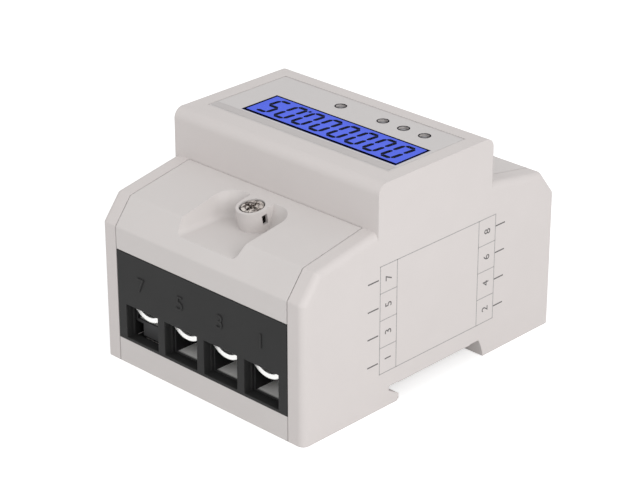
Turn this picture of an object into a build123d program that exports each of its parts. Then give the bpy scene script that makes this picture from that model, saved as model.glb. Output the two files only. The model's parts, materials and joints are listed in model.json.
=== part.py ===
"""DIN rail energy meter, three phases and neutral, modelled piece by piece in millimetres.

The meter lies on its rail side. X runs along the rail, Y from the supply terminals (front) to the
load terminals (back), and Z from the rail to the display. The origin is the middle of the underside.
"""

import os
from math import atan2, cos, degrees, radians, sin, sqrt

from build123d import *

os.makedirs("parts", exist_ok=True)

# Outer body
body_width = 76.0
body_depth = 100.0
body_height = 65.0
hump_depth = 45.0  # raised display block, the depth that a distribution board leaves open
shoulder_z = 51.6  # terminal cover meets the display block
eave_z = 47.7  # gentle slope of the cover ends and the steep face starts
eave_y = 44.3
brow_z = 40.4  # steep face ends and the upright front starts
wall = 2.2
cheek = 5.5  # solid side of the housing beside the terminals
hump_round = 3.0
bend_round = 1.0
corner_round = 2.0
seam = 0.25  # visible gap between neighbouring casing parts

# Rail seat
rail_width = 35.0
rail_sheet = 1.0
rail_play = 0.1
seat_z = 5.4
lip_reach = 3.8
lip_root_gap = 1.1
lip_drop = 2.2  # the lip's ramp falls by this much towards its tip
lip_nose = 0.8
seat_relief = 0.2  # the ceiling stands back by this much over the lip and over the clip's nose
foot_gap = 1.1  # groove is this much longer than the rail on the clip side
foot_lean = 2.1
foot_bow = 0.35

# Base
base_top = 7.25
base_skin = 2.0
base_rib = 1.6
block_screw_inset = 6.5  # from the display block's face to the screw under each terminal block

# Terminals
terminal_count = 4
block_margin = 2.02  # solid end of the block beside the outer terminals
chamber_wall = 1.24
window_rib = 2.64  # upright between neighbouring windows
block_top = 33.65
window_bottom = 8.1
window_top = 18.2
window_depth = 2.4
lip_play = 0.65  # the window's inner edge clears the bar by this much on each side
lip_depth = 0.8
lip_top_rim = 0.3
running_gap = 0.3
block_tail = 0.2  # the block's back stays this far from the display block's wall

# Conductor bars
bar_thick = 1.4
bar_low = 14.1  # underside of the bar
bow_angle = 50.0  # the bowed end turns up by this much at its edges
bar_neck = 7.2
bar_set_back = 0.05  # from the step in the window to the bar's end
bar_neck_inset = 3.5  # from the display block's face to the neck's end
block_core_skin = 1.4  # the block is cored from below behind its chambers, up to this far under the bar
block_core_rib = 1.2
block_core_wall = 1.6

# Cage clamps
cage_sheet = 1.0
cage_floor = 0.8
cage_nut = 2.6
cage_length = 9.6
cage_floor_z = 8.1  # top of the floor with the clamp open
guard_width = 7.0
guard_drop = 3.6
clamp_travel = 4.7

# Clamp screws, M5
screw_radius = 2.5
screw_fit = 0.05
screw_head_radius = 4.3
screw_head_height = 3.2
screw_point_radius = 1.2
screw_bevel = 0.8
screw_taper_length = 1.0
screw_recess_depth = 1.8
screw_slot_width = 1.2
screw_cross_width = 1.4
screw_cross_length = 4.6
well_gap = 0.4
well_floor = 1.2

# Sealing screw and the scoop in the cover
seal_inset = 7.8  # from the display block's face to the screw, on the slope
boss_radius = 4.45  # the boss is round in front and runs straight back into the scoop's wall
boss_tail = 4.6
seal_head_radius = 3.4
seal_head_gap = 0.15
seal_head_height = 5.2
seal_head_round = 0.4
seal_cross_length = 4.2
seal_cross_width = 0.9
seal_cross_depth = 1.3
seal_cross_taper = 12.0
seal_sink = 0.3
seal_shaft_radius = 2.0
seal_shaft_length = 10.0
boss_floor = 3.3
seal_hole_gap = 0.15
seal_slot_width = 1.8
seal_slot_height = 2.8
seal_slot_top = 1.45
seal_wire_radius = 0.8
scoop_floor_z = 43.8
scoop_floor_half = 10.8
scoop_draft = 0.3  # sideways lean of the scoop's walls for each millimetre of height
scoop_inset = 6.0  # from the display block's face to the back of the scoop's floor
scoop_corner = 4.0
scoop_floor_round = 1.8
scoop_over = 2.0  # the cutting shapes run past the cover's surface
boss_over = 4.0
cover_skin = 2.0
tab_width = 6.0
tab_x = 20.0
tab_thick = 1.4
tab_reach = 1.6
insert_radius = 2.6
insert_length = 7.0
pillar_radius = 4.0
pillar_foot = 1.5  # the pillar is sunk this deep into the block
insert_relief = 3.0  # room under the insert for the screw's end
thread_fit = 0.02

# Display side
plate_sink = 0.4
nameplate_thick = 0.3
nameplate_play = 0.3
nameplate_margin = 4.5  # from the side of the meter
nameplate_front = -14.1
nameplate_back = 16.1
glass_left_margin = 8.75  # from the nameplate's edge to the glass
glass_right_margin = 1.45
window_y = -2.9
glass_window_depth = 13.75
lcd_margin = 0.8
lcd_thick = 2.4
lcd_drop = 0.3  # glass lies this far under the nameplate
fit_gap = 0.3
led_y = 10.4
led_edge = 7.9  # from the right edge of the glass to the last lamp
led_pitch = 7.5
led_first_gap = 15.65  # the first lamp stands apart
led_radius = 1.5
led_flange = 0.3
led_hole_gap = 0.22
led_drop = 0.3

# Boards
board_thick = 1.6
main_board_z = 24.0
display_board_drop = 9.4  # from the top of the meter to the underside of the display board
board_gap = 0.5
board_tongue_room = 2.2  # the main board keeps clear of the snap tongues
post_y = 10.3
post_radius = 3.0
ceiling_boss_inset = 3.8
ceiling_boss_y = 15.2
ceiling_boss_radius = 2.4
small_screw_radius = 1.2
small_head_radius = 2.2
small_head_height = 1.6
small_screw_length = 6.0
screw_slip = 0.15
block_screw_depth = 8.0

# Current transformers
ct_gap = 0.84
ct_depth = 9.2
ct_bore = 4.1
ct_head = 3.2  # case above the bore
ct_round = 1.5
pin_radius = 0.35

# Parts on the boards
transformer_length = 22.0
transformer_depth = 15.0
transformer_height = 16.0
transformer_flange = 3.0
transformer_step = 1.5  # the winding stands back from the flange
transformer_edge = 2.1  # from the edge of the board
film_length = 18.0
film_depth = 7.5
film_height = 13.0
film_gap = 1.0  # to the power transformer
film_y = 10.25
varistor_radius = 6.0
varistor_thick = 4.0
varistor_foot = 5.0
varistor_inset = 11.1  # from its middle to the end of the board
varistor_edge = 3.3  # from its middle to the edge of the board
varistor_lift = 1.0
meter_chip_side = 10.0
controller_chip_side = 12.0
chip_height = 1.6
chip_bevel = 0.3
can_radius = 4.0
can_height = 16.0
can_crimp = 0.3
can_edge = 0.2
can_step = 8.6

# Pin strip between the boards
pin_pitch = 2.54
pin_side = 0.64
pin_count = 8
link_edge = 3.1  # from the middle of the strip to the edge of the main board
link_to_chip = 7.0

# Rail clip and its spring
clip_width = 16.0
clip_flange = 2.0
clip_low = 0.4
clip_top = 3.4
clip_flange_thick = 1.5
clip_gap = 0.3
clip_seat = 0.2
clip_hold = 1.9  # the nose reaches this far under the rail
clip_set_back = 0.4
clip_nose_length = 2.0
clip_nose_thick = 0.7
clip_nose_rise = 0.8  # length of the ramp from the nose to the top of the clip
clip_lead = 3.3  # length of the ramp under the nose
clip_slot_length = 8.0
clip_slot_width = 2.4
clip_slot_shift = 1.0
channel_top = 4.5
channel_wall = 2.0
post_depth = 10.0  # from the back of the meter to the back of the spring's post
post_thick = 2.0
post_half = 3.5
spring_room = 14.0  # from the front of the clip's window to the back of the post
spring_strip = 0.6
spring_height = 1.8
spring_half = 2.6
spring_waves = 4
spring_gap = 0.1

# Snap tongues between base and housing
snap_y = 13.0
snap_width = 6.0
snap_thick = 1.4
snap_height = 9.0
snap_hook = 0.7
snap_hook_length = 2.0
snap_play = 0.3
snap_foot = 2.0
snap_foot_low = 0.5  # the tongue's foot starts this far under the base's top
snap_foot_high = 1.5
ledge_thick = 1.8
ledge_gap = 0.2

# Derived places
half_width = body_width / 2
half_depth = body_depth / 2
bay_half = half_width - cheek  # inner half width beside the terminals
part_half = bay_half - seam
hump_half = hump_depth / 2
room_y = hump_half - wall
room_x = half_width - wall
ceiling_z = body_height - wall
slope_rise = (shoulder_z - eave_z) / (eave_y - hump_half)
block_screw_y = hump_half + block_screw_inset
bar_neck_y = hump_half + bar_neck_inset
seal_y = hump_half + seal_inset
scoop_back_y = hump_half + scoop_inset
pitch = 2 * (bay_half - block_margin) / terminal_count
ct_width = pitch - ct_gap
terminal_places = [pitch * (i - (terminal_count - 1) / 2) for i in range(terminal_count)]
post_places = [(x, y) for x in (-pitch, pitch) for y in (-post_y, post_y)]
ceiling_boss_x = room_x - ceiling_boss_inset
ceiling_places = [
    (x, y) for x in (-ceiling_boss_x, ceiling_boss_x) for y in (-ceiling_boss_y, ceiling_boss_y)
]

window_back = half_depth - window_depth
chamber_front = window_back - lip_depth
cage_front = chamber_front - running_gap
cage_back = cage_front - cage_length
chamber_back = cage_back - running_gap
screw_y = (cage_front + cage_back) / 2
chamber_half = (pitch - chamber_wall) / 2
cage_outer_half = chamber_half - running_gap
cage_inner_half = cage_outer_half - cage_sheet
bar_width = 2 * (cage_inner_half - running_gap)
window_width = pitch - window_rib
lip_width = bar_width + 2 * lip_play

bow_radius = bar_width / 2 / sin(radians(bow_angle))
bow_centre_z = bar_low + bow_radius
bar_top = bar_low + bar_thick
bar_edge_top = bow_centre_z - (bow_radius - bar_thick) * cos(radians(bow_angle))
cage_ceiling_z = bar_edge_top + running_gap
cage_top_z = cage_ceiling_z + cage_nut
chamber_top = cage_top_z + clamp_travel + running_gap
well_floor_z = chamber_top + well_floor
screw_head_z = well_floor_z + clip_seat
screw_tip_z = bar_top + running_gap
well_radius = screw_head_radius + well_gap
screw_hole_radius = screw_radius + well_gap
bar_end_y = window_back - bar_set_back

hook_root = rail_width / 2 + rail_play
foot_face = hook_root + foot_gap
lip_root_z = seat_z - lip_root_gap
nose_y = rail_width / 2 - clip_hold
nose_top = seat_z - rail_sheet - clip_seat
seal_z = shoulder_z - slope_rise * (seal_y - hump_half)
clip_half = clip_width / 2
channel_low_half = clip_half + clip_gap
channel_high_half = clip_half + clip_flange + clip_gap
nameplate_width = body_width - 2 * nameplate_margin
glass_window_width = nameplate_width - glass_left_margin - glass_right_margin
window_x = (glass_left_margin - glass_right_margin) / 2
led_last = window_x + glass_window_width / 2 - led_edge
led_row = [led_last - i * led_pitch for i in (2, 1, 0)]
led_places = [led_row[0] - led_first_gap] + led_row
lcd_width = glass_window_width + 2 * lcd_margin
lcd_depth = glass_window_depth + 2 * lcd_margin
nameplate_z = body_height - plate_sink
lcd_top = nameplate_z - lcd_drop
ct_centre_z = bar_low + bar_thick / 2
boss_bottom = seal_sink + seal_head_height + boss_floor
pillar_depth = boss_bottom + clip_seat
cage_low = cage_floor_z - cage_floor
guard_low = cage_low - guard_drop
display_board_z = body_height - display_board_drop
display_top = display_board_z + board_thick
main_top = main_board_z + board_thick
board_half_x = room_x - board_gap - board_tongue_room
board_half_y = room_y - board_gap
varistor_y = board_half_y - varistor_edge
can_second_y = can_radius + can_edge - board_half_y
can_first_y = can_second_y + can_step
link_x = board_half_x - link_edge
varistor_x = varistor_inset - board_half_x
transformer_start = transformer_edge - board_half_x
film_x = transformer_start + transformer_length + film_gap + film_length / 2
clip_end = half_depth - clip_set_back
post_back_y = half_depth - post_depth
spring_front = post_back_y - spring_room


def finish(piece, name):
    """Name a finished piece and write it."""
    piece.part.label = name
    export_step(piece.part, f"parts/{name}.step")


def slab(x, y, z, mode=Mode.ADD):
    """Box of the piece being built, from its two limits along each axis."""
    sizes = [abs(high - low) for low, high in (x, y, z)]
    middle = tuple((low + high) / 2 for low, high in (x, y, z))
    with Locations(middle):
        Box(*sizes, mode=mode)


def span(half):
    """Limits of something centred on the middle."""
    return (-half, half)


def turned(piece):
    """The same piece at the other end of the meter."""
    return piece.part.rotate(Axis.Z, 180)


def body_outline():
    """Points (y, z) round the side of the meter, before the rail groove is cut."""
    back = [
        (half_depth, 0),
        (half_depth, brow_z),
        (eave_y, eave_z),
        (hump_half, shoulder_z),
        (hump_half, body_height),
    ]
    return back + [(-y, z) for y, z in reversed(back)]


def round_bends(piece):
    """Soften the two bends of each sloping face."""
    bends = piece.edges().filter_by(Axis.X).filter_by_position(Axis.Z, brow_z - 1, eave_z + 1)
    fillet(bends, bend_round)


# Groove for the rail: hooked lip in front, bowed foot at the clip
with BuildPart() as rail_groove:
    tip = lip_reach - hook_root
    foot_end = foot_face + foot_lean
    seat_end = nose_y - clip_gap
    with BuildSketch(Plane.YZ):
        with BuildLine():
            Polyline(
                (foot_end, -1),
                (tip - lip_nose, -1),
                (tip - lip_nose, 0),
                (tip, lip_nose),
                (tip, lip_root_z - lip_drop),
                (-hook_root, lip_root_z),
                (-hook_root, seat_z + seat_relief),
                (tip, seat_z + seat_relief),
                (tip, seat_z),
                (seat_end, seat_z),
                (seat_end, seat_z + seat_relief),
                (foot_face, seat_z + seat_relief),
            )
            ThreePointArc(
                (foot_face, seat_z + seat_relief),
                (foot_face + foot_lean / 2 + foot_bow, seat_z / 2),
                (foot_end, 0),
            )
            Line((foot_end, 0), (foot_end, -1))
        make_face()
    extrude(amount=body_width, both=True)


def seal_axis(depth=0.0):
    """Plane square to the sealing screw, a depth below the slope of the front cover."""
    lean = Plane((0, -seal_y, seal_z), x_dir=(1, 0, 0), z_dir=(0, -slope_rise, 1))
    return lean.offset(-depth)


# Housing: display block, side cheeks and partitions in one moulding
with BuildPart() as housing:
    with BuildSketch(Plane.YZ):
        with BuildLine():
            Polyline(*body_outline(), close=True)
        make_face()
    extrude(amount=half_width, both=True)
    fillet(housing.edges().filter_by(Axis.X).group_by(Axis.Z)[-1], hump_round)
    round_bends(housing)
    uprights = housing.edges().filter_by(Axis.Z).group_by(Axis.Y)
    fillet(uprights[0] + uprights[-1], corner_round)

    for bay in ((-body_depth, -hump_half), (hump_half, body_depth)):
        slab(span(bay_half), bay, (-1, body_height), mode=Mode.SUBTRACT)
    slab(span(bay_half), span(hump_half + 1), (-1, base_top), mode=Mode.SUBTRACT)
    slab(span(room_x), span(room_y), (base_top, ceiling_z), mode=Mode.SUBTRACT)
    add(rail_groove.part, mode=Mode.SUBTRACT)

    # Slots in both partitions for the conductor bars, open below so that the housing drops over them
    with Locations(*[(x, 0, (base_top + bar_top + running_gap) / 2) for x in terminal_places]):
        Box(
            bar_neck + 2 * running_gap,
            hump_depth + 1,
            bar_top + running_gap - base_top,
            mode=Mode.SUBTRACT,
        )

    # Slots that take the covers' tabs
    with Locations(*[(x, 0, shoulder_z - cover_skin) for x in (-tab_x, tab_x)]):
        Box(
            tab_width + 2 * fit_gap,
            hump_depth + 1,
            tab_thick + 2 * fit_gap,
            mode=Mode.SUBTRACT,
        )

    # Nameplate recess, display opening and the four indicator holes
    slab(
        span(nameplate_width / 2),
        (nameplate_front, nameplate_back),
        (nameplate_z, body_height + 1),
        mode=Mode.SUBTRACT,
    )
    with Locations((window_x, window_y, body_height)):
        Box(lcd_width + 2 * fit_gap, lcd_depth + 2 * fit_gap, 3 * wall, mode=Mode.SUBTRACT)
    with Locations(*[(x, led_y, body_height) for x in led_places]):
        Cylinder(led_radius + led_hole_gap, 3 * wall, mode=Mode.SUBTRACT)

    # Bosses that hang the display board from the top
    boss_height = ceiling_z - display_top
    with Locations(*[(x, y, ceiling_z - boss_height / 2) for x, y in ceiling_places]):
        Cylinder(ceiling_boss_radius, boss_height)
    with Locations(*[(x, y, ceiling_z - boss_height / 2) for x, y in ceiling_places]):
        Cylinder(small_screw_radius - thread_fit, boss_height, mode=Mode.SUBTRACT)

    # Ledges for the base's snap tongues
    ledge_top_z = base_top + snap_height - snap_hook_length - ledge_gap
    for snap_side in (-1, 1):
        for snap_end in (-snap_y, snap_y):
            slab(
                (snap_side * (room_x - snap_hook - clip_seat), snap_side * (room_x + clip_seat)),
                (snap_end - snap_width / 2, snap_end + snap_width / 2),
                (ledge_top_z - ledge_thick, ledge_top_z),
            )

    # Cheeks are cored from below beside both bays
    for core_side in (-1, 1):
        for core_end in (-1, 1):
            slab(
                (core_side * (bay_half + 1.6), core_side * (half_width - wall)),
                (core_end * (hump_half + wall), core_end * (half_depth - wall - 0.5)),
                (-1, brow_z - wall),
                mode=Mode.SUBTRACT,
            )
finish(housing, "housing")


# Base: floor with the rail groove, hollow feet, screw posts, clip channel and snap tongues
with BuildPart() as base:
    slab(span(part_half), span(half_depth), (0, base_top))
    add(rail_groove.part, mode=Mode.SUBTRACT)
    foot_starts = (hook_root + base_skin, foot_face + foot_lean + base_skin)
    for foot, foot_start in zip((-1, 1), foot_starts):
        slab(
            span(part_half - base_skin),
            (foot * foot_start, foot * (half_depth - base_skin)),
            (-1, base_top - base_skin),
            mode=Mode.SUBTRACT,
        )
    rib_end = block_screw_y + small_head_radius + base_rib
    for rib_x in (-pitch, pitch):
        for foot in (-1, 1):
            slab(
                (rib_x - base_rib / 2, rib_x + base_rib / 2),
                (foot * rib_end, foot * (half_depth - base_skin)),
                (0, base_top - base_skin),
            )
    slab(
        span(base_rib / 2),
        (-half_depth + base_skin, -hook_root - base_skin),
        (0, base_top - base_skin),
    )

    # Channel of the rail clip: narrow below, wide above, with a post for the spring
    slab(
        span(channel_high_half + channel_wall),
        (foot_face + foot_lean, half_depth - seam),
        (0, base_top),
    )
    ledge_top = clip_top - clip_flange_thick - clip_seat
    slab(span(channel_low_half), (0, body_depth), (-1, ledge_top), mode=Mode.SUBTRACT)
    slab(
        span(channel_high_half),
        (foot_face, body_depth),
        (ledge_top, channel_top),
        mode=Mode.SUBTRACT,
    )
    slab(
        span(post_half),
        (post_back_y - post_thick, post_back_y),
        (clip_low + clip_gap, channel_top),
    )

    # Shallow pockets under the clamps, and slots that their guards dip into
    guard_half = guard_width / 2 + running_gap
    for guard_x in terminal_places:
        for guard_side in (-1, 1):
            slab(
                (guard_x - chamber_half, guard_x + chamber_half),
                (guard_side * chamber_back, guard_side * chamber_front),
                (cage_low - running_gap, base_top + 1),
                mode=Mode.SUBTRACT,
            )
            slab(
                (guard_x - guard_half, guard_x + guard_half),
                (guard_side * (cage_front - cage_sheet - running_gap), guard_side * chamber_front),
                (guard_low - running_gap, base_top + 1),
                mode=Mode.SUBTRACT,
            )

    # Posts that carry the main board
    post_height = main_board_z - base_top
    with Locations(*[(x, y, base_top + post_height / 2) for x, y in post_places]):
        Cylinder(post_radius, post_height)
    with Locations(*[(x, y, main_board_z - small_screw_length / 2) for x, y in post_places]):
        Cylinder(small_screw_radius - thread_fit, small_screw_length, mode=Mode.SUBTRACT)

    # Holes for the screws that pull the terminal blocks down, wide below the floor for their heads
    head_room = base_top - base_skin
    with Locations(*[(x, y, 0) for x in (-pitch, pitch) for y in (-block_screw_y, block_screw_y)]):
        Cylinder(small_screw_radius + screw_slip, 3 * base_top, mode=Mode.SUBTRACT)
        Cylinder(small_head_radius + screw_slip, 2 * head_room, mode=Mode.SUBTRACT)

    # Snap tongues with a hooked end, standing on a step over the housing's rim
    for tongue_side in (-1, 1):
        for tongue_end in (-snap_y, snap_y):
            with BuildSketch(Plane.XZ.offset(-tongue_end)):
                with BuildLine():
                    inner = room_x - snap_hook - snap_play - snap_thick
                    outer = inner + snap_thick
                    top = base_top + snap_height
                    Polyline(
                        (tongue_side * (part_half - snap_foot), base_top - snap_foot_low),
                        (tongue_side * part_half, base_top - snap_foot_low),
                        (tongue_side * part_half, base_top),
                        (tongue_side * outer, base_top),
                        (tongue_side * outer, top - snap_hook_length),
                        (tongue_side * (outer + snap_hook), top - snap_hook_length),
                        (tongue_side * outer, top),
                        (tongue_side * inner, top),
                        (tongue_side * inner, base_top + snap_foot_high),
                        (tongue_side * (part_half - snap_foot), base_top + snap_foot_high),
                        close=True,
                    )
                make_face()
            extrude(amount=snap_width / 2 - fit_gap, both=True)
finish(base, "base")


# Terminal block: four stepped windows, clamp chambers, screw wells and the pillar of the seal screw
with BuildPart() as terminal_block_front:
    slab(span(part_half), (-half_depth, -hump_half - block_tail), (base_top, block_top))
    for chamber_x in terminal_places:
        slab(
            (chamber_x - window_width / 2, chamber_x + window_width / 2),
            (-half_depth - 1, -window_back),
            (window_bottom, window_top),
            mode=Mode.SUBTRACT,
        )
        slab(
            (chamber_x - lip_width / 2, chamber_x + lip_width / 2),
            (-window_back - 1, -chamber_front),
            (window_bottom, window_top - lip_top_rim),
            mode=Mode.SUBTRACT,
        )
        slab(
            (chamber_x - chamber_half, chamber_x + chamber_half),
            (-chamber_front, -chamber_back),
            (base_top - 1, chamber_top),
            mode=Mode.SUBTRACT,
        )
        slab(
            (chamber_x - bar_width / 2 - clip_seat, chamber_x + bar_width / 2 + clip_seat),
            (-chamber_back - 1, -bar_neck_y),
            (bar_low, bar_top + clip_seat),
            mode=Mode.SUBTRACT,
        )
        slab(
            (chamber_x - bar_neck / 2 - clip_seat, chamber_x + bar_neck / 2 + clip_seat),
            (-bar_neck_y - 1, 0),
            (bar_low, bar_top + clip_seat),
            mode=Mode.SUBTRACT,
        )
        slab(
            (chamber_x - chamber_half + block_core_rib, chamber_x + chamber_half - block_core_rib),
            (-chamber_back + block_core_wall, -bar_neck_y + block_core_rib),
            (base_top - 1, bar_low - block_core_skin),
            mode=Mode.SUBTRACT,
        )
    well_depth = block_top - well_floor_z
    with Locations(*[(x, -screw_y, block_top) for x in terminal_places]):
        CounterBoreHole(screw_hole_radius, well_radius, well_depth, well_depth + 2 * well_floor)

    # Pillar along the seal screw, bored for the threaded insert
    pillar_length = (seal_z - block_top) / cos(atan2(slope_rise, 1)) - pillar_depth + pillar_foot
    with BuildSketch(seal_axis(pillar_depth)):
        Circle(pillar_radius)
    extrude(amount=-pillar_length)
    with BuildSketch(seal_axis(pillar_depth)):
        Circle(insert_radius + thread_fit)
    extrude(amount=-insert_length, mode=Mode.SUBTRACT)
    with BuildSketch(seal_axis(pillar_depth + insert_length)):
        Circle(seal_shaft_radius + thread_fit)
    extrude(amount=-insert_relief, mode=Mode.SUBTRACT)

    # Blind holes for the two screws from below
    with Locations(*[(x, -block_screw_y, base_top) for x in (-pitch, pitch)]):
        Cylinder(small_screw_radius - thread_fit, 2 * block_screw_depth, mode=Mode.SUBTRACT)
finish(terminal_block_front, "terminal_block_front")

with BuildPart() as terminal_block_back:
    add(turned(terminal_block_front))
finish(terminal_block_back, "terminal_block_back")


def scoop_shape(grow, mode):
    """Scoop from its floor up, round at the back, with drafted walls and widened by a skin."""
    low = scoop_floor_z - grow
    back = grow - scoop_back_y
    with BuildSketch(Plane.XY.offset(low)) as plan:
        with Locations((0, back)):
            Rectangle(2 * (scoop_floor_half + grow), body_depth, align=(Align.CENTER, Align.MAX))
        fillet(plan.vertices().group_by(Axis.Y)[-1], scoop_corner + grow)
    lean = -degrees(atan2(scoop_draft, 1))
    extrude(plan.sketch, amount=shoulder_z + scoop_over - low, taper=lean, mode=mode)


def cut_bore(radius, start, end):
    """Cylinder along the seal screw between two depths."""
    with BuildSketch(seal_axis(start)) as disc:
        Circle(radius)
    extrude(disc.sketch, amount=start - end, mode=Mode.SUBTRACT)


def keep_boss(start, end):
    """Boss round the seal screw between two depths, taken out of a hollow so that it stands."""
    with BuildSketch(seal_axis(start)) as section:
        Circle(boss_radius)
        Rectangle(2 * boss_radius, boss_tail, align=(Align.CENTER, Align.MIN))
    extrude(section.sketch, amount=start - end, mode=Mode.SUBTRACT)


# What the front cover leaves open inside, round the skin of its scoop and boss
with BuildPart() as cover_void:
    with BuildSketch(Plane.YZ):
        with BuildLine():
            Polyline(
                (-hump_half + 1, block_top - 1),
                (-half_depth + cover_skin, block_top - 1),
                (-half_depth + cover_skin, brow_z - cover_skin / 2),
                (-eave_y + cover_skin / 2, eave_z - cover_skin),
                (-hump_half + 1, shoulder_z - cover_skin),
                close=True,
            )
        make_face()
    extrude(amount=part_half - cover_skin, both=True)
    scoop_shape(cover_skin, Mode.SUBTRACT)
    keep_boss(-boss_over, boss_bottom)

# Hollow of the scoop, with the boss left standing in it
with BuildPart() as scoop_hollow:
    scoop_shape(0, Mode.ADD)
    fillet(scoop_hollow.edges().group_by(Axis.Z)[0], scoop_floor_round)
    keep_boss(-boss_over, boss_bottom + boss_over)

# Front terminal cover: sloped shell with the scoop and the sealing boss
with BuildPart() as cover_front:
    with BuildSketch(Plane.YZ):
        with BuildLine():
            Polyline(
                (-hump_half - 0.1, block_top + seam),
                (-half_depth, block_top + seam),
                (-half_depth, brow_z),
                (-eave_y, eave_z),
                (-hump_half - 0.1, shoulder_z),
                close=True,
            )
        make_face()
    extrude(amount=part_half, both=True)
    round_bends(cover_front)
    add(cover_void.part, mode=Mode.SUBTRACT)
    add(scoop_hollow.part, mode=Mode.SUBTRACT)
    cut_bore(seal_head_radius + seal_head_gap, -1, seal_sink + seal_head_height)
    cut_bore(seal_shaft_radius + seal_hole_gap, 0, boss_bottom + 1)
    slot_depth = seal_slot_top + seal_slot_height / 2
    with Locations(seal_axis(slot_depth)):
        Box(2 * boss_radius + clip_seat, seal_slot_width, seal_slot_height, mode=Mode.SUBTRACT)
    for cover_tab in (-tab_x, tab_x):
        slab(
            (cover_tab - tab_width / 2, cover_tab + tab_width / 2),
            (-hump_half - cover_skin, -hump_half + tab_reach),
            (shoulder_z - cover_skin - tab_thick / 2, shoulder_z - cover_skin + tab_thick / 2),
        )
finish(cover_front, "cover_front")

with BuildPart() as cover_back:
    add(turned(cover_front))
finish(cover_back, "cover_back")


# Sealing screw: cheese head with a cross recess and a hole for the seal wire
with BuildPart() as seal_screw_front:
    with BuildSketch(seal_axis(seal_sink)):
        Circle(seal_head_radius)
    extrude(amount=-seal_head_height)
    fillet(seal_screw_front.edges().filter_by(GeomType.CIRCLE).group_by(Axis.Z)[-1], seal_head_round)
    with BuildSketch(seal_axis(seal_sink)):
        Rectangle(seal_cross_length, seal_cross_width)
        Rectangle(seal_cross_width, seal_cross_length)
    extrude(amount=-seal_cross_depth, taper=seal_cross_taper, mode=Mode.SUBTRACT)
    with BuildSketch(seal_axis(seal_sink + seal_head_height)):
        Circle(seal_shaft_radius)
    extrude(amount=-seal_shaft_length)
    with Locations(seal_axis(slot_depth)):
        Cylinder(seal_wire_radius, 3 * boss_radius, rotation=(0, 90, 0), mode=Mode.SUBTRACT)
finish(seal_screw_front, "seal_screw_front")

with BuildPart() as seal_screw_back:
    add(turned(seal_screw_front))
finish(seal_screw_back, "seal_screw_back")

with BuildPart() as seal_insert_front:
    with BuildSketch(seal_axis(pillar_depth)):
        Circle(insert_radius)
        Circle(seal_shaft_radius + thread_fit, mode=Mode.SUBTRACT)
    extrude(amount=-insert_length)
finish(seal_insert_front, "seal_insert_front")

with BuildPart() as seal_insert_back:
    add(turned(seal_insert_front))
finish(seal_insert_back, "seal_insert_back")


def terminal_number(place, side):
    """Odd numbers in front and even ones behind, counted from the right."""
    return 2 * (terminal_count - 1 - place) + (1 if side < 0 else 2)


def build_cage(x, side, lift, name):
    """Cage clamp: a strip bent round into a box, with a guard that hangs from its floor."""
    floor_z = cage_floor_z + lift
    top_z = cage_top_z + lift
    with BuildPart() as cage:
        slab(
            (x - cage_outer_half, x + cage_outer_half),
            (side * cage_back, side * cage_front),
            (floor_z - cage_floor, top_z),
        )
        fillet(cage.edges().filter_by(Axis.Y), cage_sheet)
        slab(
            (x - cage_inner_half, x + cage_inner_half),
            (side * (cage_back - 1), side * (cage_front + 1)),
            (floor_z, top_z - cage_nut),
            mode=Mode.SUBTRACT,
        )
        with Locations((x, side * screw_y, top_z)):
            Hole(screw_radius + screw_fit, 2 * cage_nut)
        slab(
            (x - guard_width / 2, x + guard_width / 2),
            (side * (cage_front - cage_sheet), side * cage_front),
            (guard_low + lift, floor_z - cage_floor / 2),
        )
    finish(cage, name)


def build_terminal_screw(x, side, name):
    """Clamp screw: pan head with a combined recess, plain shank and a narrow point."""
    with BuildPart() as screw:
        with BuildSketch(Plane.XZ):
            with BuildLine():
                Polyline(
                    (0, screw_tip_z),
                    (screw_point_radius, screw_tip_z),
                    (screw_radius, screw_tip_z + screw_taper_length),
                    (screw_radius, screw_head_z),
                    (screw_head_radius, screw_head_z),
                    (screw_head_radius, screw_head_z + screw_head_height - screw_bevel),
                    (screw_head_radius - screw_bevel, screw_head_z + screw_head_height),
                    (0, screw_head_z + screw_head_height),
                    close=True,
                )
            make_face()
        revolve(axis=Axis.Z)
        with BuildSketch(Plane.XY.offset(screw_head_z + screw_head_height)):
            Rectangle(2 * screw_head_radius + 1, screw_slot_width)
            Rectangle(screw_cross_width, screw_cross_length)
        extrude(amount=-screw_recess_depth, mode=Mode.SUBTRACT)
    with BuildPart() as placed:
        add(screw.part.translate((x, side * screw_y, 0)))
    finish(placed, name)


def build_bar(x, name):
    """Conductor bar from one terminal to the other, bowed at both ends and necked between."""
    with BuildPart() as bar:
        for side in (-1, 1):
            with BuildSketch(Plane.XZ.offset(-side * cage_back)):
                with BuildLine():
                    bow = CenterArc(
                        (0, bow_centre_z), bow_radius - bar_thick / 2, -90 - bow_angle, 2 * bow_angle
                    )
                trace(bow, line_width=bar_thick)
            extrude(amount=-side * (bar_end_y - cage_back))
        with BuildSketch(Plane.XY.offset(bar_low)):
            Rectangle(bar_width, 2 * cage_back)
            with Locations(*[(s * bar_width / 2, 0) for s in (-1, 1)]):
                Rectangle(bar_width - bar_neck, 2 * bar_neck_y, mode=Mode.SUBTRACT)
        extrude(amount=bar_thick)
    with BuildPart() as placed:
        add(bar.part.translate((x, 0, 0)))
    finish(placed, name)


# Terminals: clamps, screws and conductor bars
closed_place = 0  # the clamp furthest to the left in front is screwed up
for place, terminal_x in enumerate(terminal_places):
    build_bar(terminal_x, f"conductor_bar_{terminal_count - place}")
    for end in (-1, 1):
        number = terminal_number(place, end)
        raised = clamp_travel if end < 0 and place == closed_place else 0.0
        build_cage(terminal_x, end, raised, f"cage_clamp_{number}")
        build_terminal_screw(terminal_x, end, f"terminal_screw_{number}")


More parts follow.
